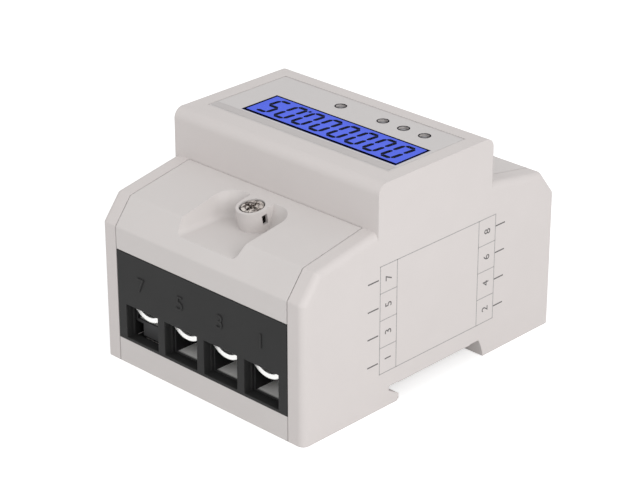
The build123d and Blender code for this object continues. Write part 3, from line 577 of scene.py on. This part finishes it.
backlight_finish()
print("window in mm:", np.round(window_half * 2 / mm, 1).tolist())

# %% Clear window
window_alpha = 0.02


def window_finish():
    """Clear film: faint tint, low alpha, with a slightly uneven anti-glare surface."""
    material, tree, shader = new_material("display_window")
    waves = noise(tree, object_place(tree), scale=120.0, detail=1.0)
    set_inputs(tree, shader, {
        "Base Color": linear(205, 215, 245),
        "Alpha": window_alpha,
        "Specular IOR Level": 0.08,
        "Roughness": spread(tree, waves, low=0.3, high=0.4),
    })
    materials["display_window"] = material


window_finish()
print("share of light that the window lets through:", 1 - window_alpha)

# %% Unlit lamps
crown_begin, crown_full = 0.72, 0.84


def lamp_finish():
    """Milky lamp: grey crown in a dark ring of painted shade, where the dome turns steeply down
    into its hole.
    """
    material, tree, shader = new_material("indicator")
    # Painted shade: faces that turn steeply down are dark, and the crown that faces up is grey.
    crown = spread(tree, facing(tree)["Z"], crown_begin, crown_full)
    set_inputs(tree, shader, {
        "Roughness": 0.45,
        "Specular IOR Level": 0.2,
        "Base Color": blend(tree, crown, linear(34, 34, 36), linear(140, 138, 140)),
    })
    materials["indicator"] = material


lamp_finish()
print("finishes:", len(materials))

# %% [markdown]
# ## Finishes on the solids
#
# The record says which slot each solid uses, and the finishes above are named after the slots, so
# one loop dresses the whole meter.

# %% Dress every solid
for entry in frame["record"]["subparts"]:
    solid = nodes[entry["node"]]
    for material_slot in solid.material_slots:
        material_slot.material = materials[entry["material_slot"]]

# %% [markdown]
# ## Flat marks as meshes
#
# Everything printed or moulded on the meter is a flat shape laid on a face: a ribbon along a line,
# a display segment or a figure. Each starts as points (x, y, z) on a flat sheet with the faces
# that join them, and one helper lays the sheet on a face of the meter, given the directions that
# its right and its up take there.

# %% Lay a sheet on a face
def lay(shape, origin, right, up):
    """Sheet to face: origin + x times right + y times up + z times (right cross up)."""
    points, faces = shape
    basis = np.array([right, up, np.cross(right, up)], dtype=float)
    return np.asarray(points) @ basis + np.asarray(origin, dtype=float), faces


print("a step right on the side wall:", lay(([(1, 0, 0)], []), (0, 0, 0), (0, 0, 1), (0, -1, 0))[0])

# %% Slabs and ribbons
def slab_shape(outline, low, high):
    """Prism over a flat outline: the same ring at two heights, two caps and a wall between."""
    ring = np.asarray(outline, dtype=float)
    count = len(ring)
    points = np.vstack([np.c_[ring, np.full(count, low)], np.c_[ring, np.full(count, high)]])
    index = np.arange(count)
    following = (index + 1) % count
    walls = np.c_[index, following, following + count, index + count].tolist()
    return points, walls + [index[::-1].tolist(), (index + count).tolist()]


def ribbon(start, end, width, low, high):
    """Straight bar of a given width between two points, square at its ends."""
    start, end = np.asarray(start, dtype=float), np.asarray(end, dtype=float)
    along = (end - start) / np.linalg.norm(end - start)
    side = np.array([-along[1], along[0]]) * width / 2
    start, end = start - along * width / 2, end + along * width / 2
    return slab_shape([start - side, end - side, end + side, start + side], low, high)


print("faces of a ribbon:", len(ribbon((0, 0), (1, 0), 0.1, 0, 0.01)[1]))

# %% Figures from a font
capital_share = 0.7  # height of a figure as a share of the font's size


def figure(text, height, low, high):
    """Text as a solid: a font outline of the given capital height, raised from low to high."""
    curve = bpy.data.curves.new(text, "FONT")
    curve.body = text
    curve.size = height / capital_share
    curve.align_x = "CENTER"
    curve.align_y = "CENTER"
    curve.resolution_u = 4
    curve.extrude = (high - low) / 2
    holder = bpy.data.objects.new(text, curve)
    bpy.context.scene.collection.objects.link(holder)
    bpy.context.view_layer.update()
    graph = bpy.context.evaluated_depsgraph_get()
    mesh = bpy.data.meshes.new_from_object(holder.evaluated_get(graph))
    points = np.empty(len(mesh.vertices) * 3)
    mesh.vertices.foreach_get("co", points)
    points = points.reshape(-1, 3)
    middle = (points.min(axis=0) + points.max(axis=0)) / 2
    faces = [list(face.vertices) for face in mesh.polygons]
    bpy.data.objects.remove(holder)
    bpy.data.meshes.remove(mesh)
    return points - middle + [0, 0, (low + high) / 2], faces


print("font size for a figure of 7 mm, in mm:", round(7 / capital_share, 1))

# %% One piece from many shapes
def piece(name, shapes, material, body="meter"):
    """One object from several (points, faces) shapes, dressed and riding on a body."""
    points, faces, offset = [], [], 0
    for shape_points, shape_faces in shapes:
        points.append(shape_points)
        faces += [[index + offset for index in face] for face in shape_faces]
        offset += len(shape_points)
    mesh = bpy.data.meshes.new(name)
    mesh.from_pydata(np.vstack(points).tolist(), [], faces)
    mesh.materials.append(material)
    thing = bpy.data.objects.new(name, mesh)
    bpy.context.scene.collection.objects.link(thing)
    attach(thing, body)
    print(name, "faces:", len(faces))
    return thing


print("solids, before any new piece:", len(nodes))

# %% [markdown]
# ## Moulded terminal numbers
#
# Each clamp has its number on the black face above the window. On the real block the figures are
# cut in the mould, so they stand proud of the face by a fraction of a millimetre and show only by
# their shadow. They keep the finish of the block. The clamps are numbered 7, 5, 3, 1 in front and
# 8, 6, 4, 2 at the back.

# %% Raise the numbers
number_height = 4.2 * mm
number_level = 25.8 * mm
number_root, number_proud = -0.1 * mm, 0.22 * mm
block_face_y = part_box("terminal_block_front")[0][1]
sides = {
    "front": (block_face_y, (1, 0, 0), (7, 5, 3, 1)),
    "back": (-block_face_y, (-1, 0, 0), (8, 6, 4, 2)),
}
for side, (face_y, rightward, numbers) in sides.items():
    shapes = []
    for number in numbers:
        clamp_low, clamp_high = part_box(f"cage_clamp_{number}")
        clamp_x = (clamp_low[0] + clamp_high[0]) / 2
        shape = figure(str(number), number_height, number_root, number_proud)
        shapes.append(lay(shape, (clamp_x, face_y, number_level), rightward, (0, 0, 1)))
    piece(f"numbers_{side}", shapes, materials["terminal_block"])

# %% [markdown]
# ## Printed wiring diagram
#
# The right side carries a fine grey print: a tall frame with the terminal numbers down both edges
# and short leads that stick out at each row. Ink is a few hundredths thick, so thin bars laid on
# the wall are enough, and their outer faces stand clear of it to avoid flicker. The figures read
# upwards from the rail, so their top points to the front.

# %% Ink
def ink_finish(name, level):
    """Pad-printed ink: a grey level, paler in small spots where the pad lifted."""
    material, tree, shader = new_material(name)
    speckle = noise(tree, object_place(tree), scale=2500.0)
    full, faded = linear(level, level - 2, level - 2), linear(level + 26, level + 24, level + 23)
    ink = blend(tree, spread(tree, speckle, begin=0.35, end=0.7), full, faded)
    set_inputs(tree, shader, {"Roughness": 0.5, "Base Color": ink})
    return material


dark_ink = ink_finish("dark_ink", 76)
pale_ink = ink_finish("pale_ink", 146)
print("inks:", dark_ink.name, pale_ink.name)

# %% Print the diagram
ink_low, ink_high = 0.0, 0.03 * mm
frame_width, lead_width = 0.22 * mm, 0.36 * mm
side_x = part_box("housing")[1][0]
frame_y = (-21.5 * mm, 24.4 * mm)
frame_z = (10.5 * mm, 41.9 * mm)
column_y = (-15.06 * mm, 17.5 * mm)
row_z = (18.2 * mm, 26.2 * mm, 34.1 * mm)
lead_z = (14.1 * mm, 22.3 * mm, 30.3 * mm, 38.3 * mm)
lead_y = ((-26.0 * mm, -22.3 * mm), (24.7 * mm, 28.2 * mm))


def frame_lines():
    """Start and end (y, z) of every line of the frame: uprights, ends and rows."""
    lines = [((y, frame_z[0]), (y, frame_z[1])) for y in frame_y + column_y]
    lines += [((frame_y[0], z), (frame_y[1], z)) for z in frame_z]
    lines += [((frame_y[0], z), (column_y[0], z)) for z in row_z]
    return lines + [((column_y[1], z), (frame_y[1], z)) for z in row_z]


def on_side(shape):
    """Lay a (z, -y) sheet on the right side: right is +Z and up is -Y."""
    return lay(shape, (side_x, 0, 0), (0, 0, 1), (0, -1, 0))


def print_lines(name, lines, width, ink):
    """Lay a ribbon along every line (y, z) of the right side and make one piece of them."""
    ribbons = [
        ribbon((z0, -y0), (z1, -y1), width, ink_low, ink_high) for (y0, z0), (y1, z1) in lines
    ]
    piece(name, [on_side(shape) for shape in ribbons], ink)


leads = [((low, z), (high, z)) for z in lead_z for low, high in lead_y]
print_lines("diagram_frame", frame_lines(), frame_width, pale_ink)
print_lines("diagram_leads", leads, lead_width, dark_ink)

# %% Print the diagram's numbers
label_height = 2.4 * mm
label_places = {-18.3 * mm: (1, 3, 5, 7), 21.0 * mm: (2, 4, 6, 8)}
label_z = (14.5 * mm, 22.3 * mm, 30.2 * mm, 37.9 * mm)
shapes = []
for label_y, labels in label_places.items():
    for label, z in zip(labels, label_z):
        points, faces = figure(str(label), label_height, ink_low, ink_high)
        shapes.append(on_side((points + [z, -label_y, 0], faces)))
piece("diagram_numbers", shapes, dark_ink)

# %% [markdown]
# ## Display figures
#
# The reading is made of seven-segment figures that lean by about five degrees. A segment is a
# hexagon: a bar with pointed ends, so that neighbours meet with an even gap. A figure is the set
# of its segments on a grid one wide and two high, and slanting adds a share of y to x.

# %% Segments of a figure
SEGMENTS = {
    "top": ((0, 2), (1, 2)),
    "upper_left": ((0, 1), (0, 2)),
    "upper_right": ((1, 1), (1, 2)),
    "middle": ((0, 1), (1, 1)),
    "lower_left": ((0, 0), (0, 1)),
    "lower_right": ((1, 0), (1, 1)),
    "bottom": ((0, 0), (1, 0)),
}
OFF = {"0": ["middle"], "5": ["upper_right", "lower_left"]}
figure_width = 3.65 * mm
figure_half_height = 4.42 * mm
figure_pitch = 6.58 * mm
segment_width = 1.2 * mm
segment_gap = 0.12 * mm
slant = 0.09
display_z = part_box("lcd")[1][2]


def segment(start, end, width):
    """Hexagon bar: pulled in by the gap, tapering to a point over half its width at both ends."""
    start, end = np.asarray(start, dtype=float), np.asarray(end, dtype=float)
    along = (end - start) / np.linalg.norm(end - start)
    side = np.array([-along[1], along[0]]) * width / 2
    tip_a, tip_b = start + along * segment_gap, end - along * segment_gap
    neck_a, neck_b = tip_a + along * width / 2, tip_b - along * width / 2
    return np.array([tip_a, neck_a - side, neck_b - side, tip_b, neck_b + side, neck_a + side])


print("corners of a segment:", len(segment((0, 0), (figure_width, 0), segment_width)))

# %% Slanted figures
def seven_segments(character, left, low):
    """Slanted outlines of one figure whose lower left corner is at (left, low)."""
    outlines = []
    for name, (start, end) in SEGMENTS.items():
        if name in OFF[character]:
            continue
        scale = np.array([figure_width, figure_half_height])
        outline = segment(np.array(start) * scale, np.array(end) * scale, segment_width)
        outline[:, 0] += slant * outline[:, 1]
        outlines.append(outline + [left, low])
    return outlines


print("segments of a 5:", len(seven_segments("5", 0, 0)))

# %% Write the reading
reading = "00000005"
first_left = -27.8 * mm
reading_low = -2.8 * mm
point_place = np.array([10.5, -2.5]) * mm
point_size = 0.45 * mm
segment_low, segment_high = 0.0, 0.04 * mm
outlines = []
for place, character in enumerate(reading):
    outlines += seven_segments(character, first_left + place * figure_pitch, reading_low)
corners = np.array([(-1, -1), (1, -1), (1, 1), (-1, 1)]) * point_size
outlines.append(corners + point_place)
slabs = [slab_shape(outline, segment_low, segment_high) for outline in outlines]
shapes = [lay(slab, (0, 0, display_z), (-1, 0, 0), (0, -1, 0)) for slab in slabs]


def segment_finish():
    """Switched-on display segment, also for the black mask and the painted shade rings round the
    lamps: near black and matt.
    """
    material, tree, shader = new_material("display_segment")
    fleck = noise(tree, object_place(tree), scale=900.0)
    set_inputs(tree, shader, {
        "Roughness": 0.6,
        "Specular IOR Level": 0.0,
        "Base Color": blend(tree, fleck, linear(5, 5, 14), linear(10, 10, 26)),
    })
    return material


segment_ink = segment_finish()
piece("display_figures", shapes, segment_ink)

# %% [markdown]
# ## Painted shade round the lamps
#
# Each lamp stands in its hole with a thin gap round it, and the shade in that gap is painted as a
# thin black flat ring: two circles of n points, joined by n four-sided faces. It covers the gap
# between lamp and nameplate.

# %% Lay the rings of painted shade
ring_inner, ring_outer = 1.42 * mm, 1.76 * mm
ring_lift = 0.02 * mm
ring_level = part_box("nameplate")[1][2] + ring_lift


def flat_ring(centre, inner, outer, level, count=48):
    """Ring between two circles: points r (cos a, sin a), one face for each step of the angle a."""
    angle = np.arange(count) * 2 * np.pi / count
    circle = np.c_[np.cos(angle), np.sin(angle)]
    points = np.vstack([centre + inner * circle, centre + outer * circle])
    index = np.arange(count)
    following = (index + 1) % count
    faces = np.c_[index, index + count, following + count, following].tolist()
    return np.c_[points, np.full(2 * count, level)], faces


# Painted shade: a black ring over the gap round each lamp.
shapes = []
for lamp_number in range(1, 5):
    lamp_low, lamp_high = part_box(f"indicator_{lamp_number}")
    lamp_centre = (np.array(lamp_low[:2]) + np.array(lamp_high[:2])) / 2
    shapes.append(flat_ring(lamp_centre, ring_inner, ring_outer, ring_level))
piece("lamp_gap_shade", shapes, segment_ink)

# %% [markdown]
# ## Black surround of the display
#
# A thin black line runs round the lit area: the mask printed on the clear window. It is four bars,
# just inside the opening of the nameplate. The front one is the widest, because beyond the print it
# carries painted shade of the opening's front side.

# %% Print the mask
mask_low, mask_high = 0.0, 0.03 * mm
# The front bar is wider than the print alone: its extra width is painted shade.
mask_front_with_shade, mask_back, mask_end = 1.0 * mm, 0.55 * mm, 0.7 * mm
(low_x, low_y), (high_x, high_y) = window_low[:2], window_high[:2]
mask_bars = [
    ((low_x, low_y), (high_x, low_y + mask_front_with_shade)),
    ((low_x, high_y - mask_back), (high_x, high_y)),
    ((low_x, low_y + mask_front_with_shade), (low_x + mask_end, high_y - mask_back)),
    ((high_x - mask_end, low_y + mask_front_with_shade), (high_x, high_y - mask_back)),
]
shapes = []
for (x0, y0), (x1, y1) in mask_bars:
    slab = slab_shape([(x0, y0), (x1, y0), (x1, y1), (x0, y1)], mask_low, mask_high)
    shapes.append(lay(slab, (0, 0, window_high[2]), (1, 0, 0), (0, 1, 0)))
piece("display_mask", shapes, segment_ink)

# %% [markdown]
# ## Printed band of the nameplate
#
# The front margin of the nameplate is a shade darker than the rest. The band is a thin print that
# ends where the display opening starts, and it is left without words.

# %% Print the band
def band_finish():
    """Satin grey print with the same faint cloudiness as the film under it."""
    return plastic("nameplate_band", (188, 183, 182), 0.42, size=0.25, depth=0.004, cloud=0.03)


plate_low, plate_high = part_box("nameplate")
band_margin = 0.5 * mm
band_depth = 3.4 * mm
band_low, band_high = 0.0, 0.02 * mm
band_outline = [
    (plate_low[0] + band_margin, plate_low[1] + band_margin),
    (plate_high[0] - band_margin, plate_low[1] + band_margin),
    (plate_high[0] - band_margin, plate_low[1] + band_depth),
    (plate_low[0] + band_margin, plate_low[1] + band_depth),
]
band_slab = slab_shape(band_outline, band_low, band_high)
band_shape = lay(band_slab, (0, 0, plate_high[2]), (1, 0, 0), (0, 1, 0))
piece("nameplate_print", [band_shape], band_finish())

# %% [markdown]
# ## Spring of the rail clip
#
# The clip under the meter is drawn back by a flat steel strip bent into a wave. The strip is a
# section carried along a path: straight runs joined by half circles, left and right in turn. Each
# point gets the direction to its right, and the strip's two faces stand half a thickness to either
# side.

# %% Path of the wave
def wave_path(half_width, first_y, last_y, turns, steps=17):
    """Half circles of radius r, one for each turn: x = s (flat + r cos a), y = level + r sin a.

    s is +1 and -1 in turn, flat is the half width less r, and the right side is (cos a, s sin a).
    """
    radius = (last_y - first_y) / turns / 2
    flat = half_width - radius
    angle = np.linspace(-np.pi / 2, np.pi / 2, steps)[None, :]
    turn = np.arange(turns)[:, None]
    sign = 1.0 - 2.0 * (turn % 2)
    across = sign * (flat + radius * np.cos(angle))
    along = first_y + radius * (2 * turn + 1 + np.sin(angle))
    path = np.c_[across.ravel(), along.ravel()]
    rightward = np.broadcast_to(np.cos(angle), across.shape)
    aside = np.c_[rightward.ravel(), (sign * np.sin(angle)).ravel()]
    ends = np.array([(-flat, first_y), (-path[-1, 0], last_y)])
    ends_aside = np.array([(0.0, -1.0), (0.0, aside[-1, 1])])
    return np.vstack([ends[:1], path, ends[1:]]), np.vstack([ends_aside[:1], aside, ends_aside[1:]])


print("points of a wave with one turn:", len(wave_path(2.0, 0.0, 1.0, 1)[0]))

# %% Strip along a path
def carried_strip(path, aside, width, low, high):
    """Strip along a path: four corners at each point, right or left and low or high; two caps."""
    right_edge, left_edge = path + aside * width / 2, path - aside * width / 2
    count = len(path)
    corners = [(right_edge, low), (left_edge, low), (left_edge, high), (right_edge, high)]
    runs = [np.c_[edge, np.full(count, z)] for edge, z in corners]
    points = np.stack(runs, axis=1).reshape(-1, 3)
    step = np.arange(count - 1)[:, None] * 4
    corner = np.arange(4)[None, :]
    following = (corner + 1) % 4
    after = step + 4
    quads = np.stack([step + corner, step + following, after + following, after + corner], axis=-1)
    last = 4 * (count - 1)
    caps = [[3, 2, 1, 0], [last, last + 1, last + 2, last + 3]]
    return points, quads.reshape(-1, 4).tolist() + caps


print("faces of that strip:", len(carried_strip(*wave_path(2.0, 0.0, 1.0, 1), 0.1, 0, 1)[1]))

# %% Bend the spring
spring_strip = 0.6 * mm
spring_turns = 4
spring_low, spring_high = (np.array(corner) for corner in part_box("clip_spring"))
path, aside = wave_path(
    spring_high[0] - spring_strip / 2,
    spring_low[1] + spring_strip / 2,
    spring_high[1] - spring_strip / 2,
    spring_turns,
)
strip = carried_strip(path, aside, spring_strip, spring_low[2], spring_high[2])
wave_spring = piece("wave_spring", [strip], materials["spring_steel"])
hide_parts("clip_spring")
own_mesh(wave_spring)

# %% [markdown]
# ## Floor, world and lamps
#
# The photograph is a plain studio shot on white. The world gives most of the light, evenly as in a
# light tent, a large lamp to the right makes the right side the brightest, and a weak one from the
# upper left opens the front. Seen by the camera, off gloss or through glass, the world is white and
# the floor adds a little light, so that it reads white and still keeps the shadow.

# %% White floor
def seen_by_camera(tree):
    """One for rays from the camera, off gloss or through glass, and none for the rest."""
    path = add_node(tree, "ShaderNodeLightPath").outputs
    gloss = calculate(tree, "MAXIMUM", path["Is Camera Ray"], path["Is Glossy Ray"])
    return calculate(tree, "MAXIMUM", gloss, path["Is Transmission Ray"])


def floor_finish():
    """White floor: soft diffuse, plus a little glow where seen_by_camera is one."""
    material, tree, shader = new_material("studio_floor")
    tree.nodes.remove(shader)
    diffuse = add_node(tree, "ShaderNodeBsdfDiffuse", {"Color": (0.8, 0.8, 0.8, 1)}).outputs[0]
    glow = add_node(tree, "ShaderNodeEmission", {"Color": (1, 1, 1, 1), "Strength": 0.5}).outputs[0]
    both = add_node(tree, "ShaderNodeAddShader", {0: diffuse, 1: glow}).outputs[0]
    mix = add_node(tree, "ShaderNodeMixShader", {"Fac": seen_by_camera(tree), 1: diffuse, 2: both})
    set_inputs(tree, tree.nodes["Material Output"], {"Surface": mix.outputs[0]})
    return material


floor_size = 6.0
floor_level = -0.01 * mm
floor_mesh = bpy.data.meshes.new("floor")
floor_corners = np.array([(-1, -1, 0), (1, -1, 0), (1, 1, 0), (-1, 1, 0)]) * floor_size / 2
floor_corners[:, 2] = floor_level
floor_mesh.from_pydata(floor_corners.tolist(), [], [(0, 1, 2, 3)])
floor_mesh.materials.append(floor_finish())
floor = bpy.data.objects.new("floor", floor_mesh)
bpy.context.scene.collection.objects.link(floor)
print("floor side in m:", floor_size)

# %% Light tent
world = bpy.data.worlds.new("studio")
bpy.context.scene.world = world
world.use_nodes = True
tent_level = 0.68
world_tree = world.node_tree
tent_light = spread(world_tree, seen_by_camera(world_tree), low=tent_level)
background = world_tree.nodes["Background"]
set_inputs(world_tree, background, {"Color": (1, 1, 1, 1), "Strength": tent_light})
print("level of the light tent:", tent_level)

# %% Lamps
def lamp(name, place, target, size, power):
    """Square area lamp at a place, turned to face a target."""
    data = bpy.data.lights.new(name, "AREA")
    data.shape = "SQUARE"
    data.size = size
    data.energy = power
    thing = bpy.data.objects.new(name, data)
    bpy.context.scene.collection.objects.link(thing)
    away = np.array(place) - np.array(target)
    away = away / np.linalg.norm(away)
    side = np.cross([0, 0, 1], away)
    side = side / np.linalg.norm(side)
    turn = np.eye(4)
    turn[:3, 0], turn[:3, 1], turn[:3, 2], turn[:3, 3] = side, np.cross(away, side), away, place
    thing.matrix_world = Matrix(turn.tolist())


middle = (0.0, 0.0, 0.03)
lamp("key_right", (0.9, -0.25, 0.55), middle, size=0.7, power=5.0)
lamp("fill_front", (-0.35, -1.0, 0.8), middle, size=0.8, power=1.6)

# %% [markdown]
# ## Finish
#
# Colours are shown as they are written, with the plain display transform.

# %% Finish
bpy.context.scene.view_settings.view_transform = "Standard"
bpy.context.view_layer.update()
